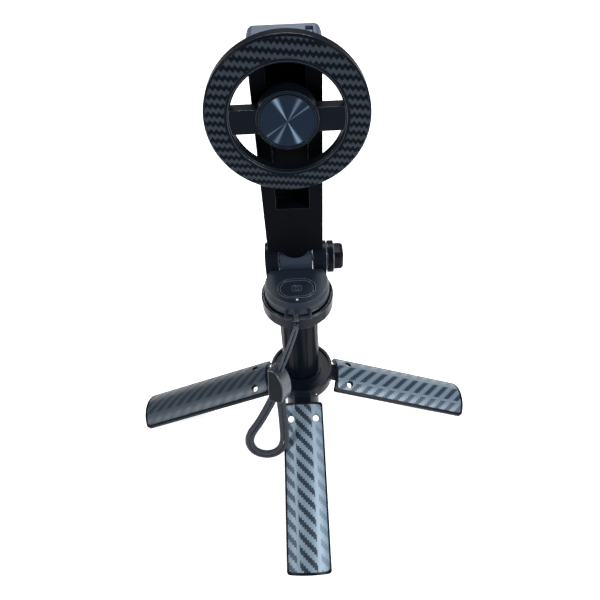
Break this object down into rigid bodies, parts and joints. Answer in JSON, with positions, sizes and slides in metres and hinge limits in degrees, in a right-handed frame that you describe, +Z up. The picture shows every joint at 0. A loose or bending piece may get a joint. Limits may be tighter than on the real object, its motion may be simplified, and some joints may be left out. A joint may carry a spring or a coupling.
{
  "type": "folding phone stand",
  "caption": "Magnetic ring phone mount on a tilting arm, removable round remote, short telescopic pole and fold-out carbon-look legs.",
  "frame": {"origin": "on the pole's axis at the floor under the feet", "axes": "+Z up, the phone side faces -Y, the tilt knob is on the +X side"},
  "size_m": [0.202, 0.202, 0.2326],
  "materials": {
    "shell": "satin black moulded plastic",
    "film": "steel-blue film with a carbon weave print",
    "ring_film": "near-black film with a wavy carbon weave print",
    "rubber": "soft black rubber",
    "steel": "bright steel",
    "tube": "black anodised tube",
    "bush": "black slide plastic",
    "disc": "dark blue disc turned in fine circles",
    "magnet": "nickel plated magnet ring",
    "board": "green circuit board",
    "cell": "coin cell",
    "lamp": "clear lamp window",
    "cord": "braided black cord"
  },
  "bodies": {
    "base": {"hub": "shell", "pole_outer": "tube", "pole_plug": "bush", "pin_front": "steel", "pin_right": "steel", "pin_back": "steel", "pin_left": "steel"},
    "leg_front": {"leg_front_shell": "shell", "leg_front_film": "film", "leg_front_foot": "rubber"},
    "leg_right": {"leg_right_shell": "shell", "leg_right_film": "film", "leg_right_foot": "rubber"},
    "leg_back": {"leg_back_shell": "shell", "leg_back_film": "film", "leg_back_foot": "rubber"},
    "leg_left": {"leg_left_shell": "shell", "leg_left_film": "film", "leg_left_foot": "rubber"},
    "stage_1": {"pole_stage_1": "tube", "pole_bush_1": "bush"},
    "stage_2": {"pole_stage_2": "tube", "pole_bush_2": "bush"},
    "head": {"pole_stage_3": "tube", "pole_bush_3": "bush", "stage_seat": "bush", "head_cup": "shell", "tilt_nut": "steel"},
    "remote": {"remote_base": "shell", "remote_top": "shell", "remote_frame": "shell", "remote_board": "board", "remote_posts": "bush", "remote_cell": "cell", "remote_switch": "bush", "remote_lamp": "lamp", "strap_hitch": "cord", "strap_knot": "cord", "string_left": "cord", "string_right": "cord", "cord_lock": "rubber", "strap_loop_inner": "cord", "strap_loop_outer": "cord"},
    "button": {"remote_button": "shell"},
    "knob": {"knob": "shell", "tilt_bolt": "steel"},
    "arm": {"arm_frame": "shell", "arm_back": "bush", "arm_cap": "shell", "arm_barrel": "shell", "washer_left": "bush", "washer_right": "bush", "ring_mount": "bush", "ring_axle": "steel"},
    "ring": {"ring_frame": "shell", "ring_film": "ring_film", "ring_magnets": "magnet", "ring_back": "shell", "ring_disc": "disc"}
  },
  "joints": [
    {"name": "leg_front_fold", "type": "hinge", "parent": "base", "child": "leg_front", "pos_m": [0, -0.015, 0.0424], "axis": [1, 0, 0], "range_deg": [0, 62.5]},
    {"name": "leg_right_fold", "type": "hinge", "parent": "base", "child": "leg_right", "pos_m": [0.015, 0, 0.0424], "axis": [0, 1, 0], "range_deg": [0, 62.5]},
    {"name": "leg_back_fold", "type": "hinge", "parent": "base", "child": "leg_back", "pos_m": [0, 0.015, 0.0424], "axis": [-1, 0, 0], "range_deg": [0, 62.5]},
    {"name": "leg_left_fold", "type": "hinge", "parent": "base", "child": "leg_left", "pos_m": [-0.015, 0, 0.0424], "axis": [0, -1, 0], "range_deg": [0, 62.5]},
    {"name": "pole_slide_1", "type": "slide", "parent": "base", "child": "stage_1", "axis": [0, 0, 1], "range_m": [0, 0.08]},
    {"name": "pole_slide_2", "type": "slide", "parent": "stage_1", "child": "stage_2", "axis": [0, 0, 1], "range_m": [0, 0.08]},
    {"name": "pole_slide_3", "type": "slide", "parent": "stage_2", "child": "head", "axis": [0, 0, 1], "range_m": [0, 0.08]},
    {"name": "arm_tilt", "type": "hinge", "parent": "head", "child": "arm", "pos_m": [0, 0.0151, 0.1209], "axis": [1, 0, 0], "range_deg": [-90, 10]},
    {"name": "knob_turn", "type": "hinge", "parent": "head", "child": "knob", "pos_m": [0.0168, 0.0151, 0.1209], "axis": [1, 0, 0], "continuous": true},
    {"name": "ring_spin", "type": "hinge", "parent": "arm", "child": "ring", "pos_m": [0, 0.0151, 0.20265], "axis": [0, -1, 0], "continuous": true},
    {"name": "remote_lift", "type": "slide", "parent": "head", "child": "remote", "axis": [0, 0, 1], "range_m": [0, 0.012]},
    {"name": "button_press", "type": "slide", "parent": "remote", "child": "button", "axis": [0, 0, -1], "range_m": [0, 0.0003], "stiffness_N_per_m": 600}
  ]
}
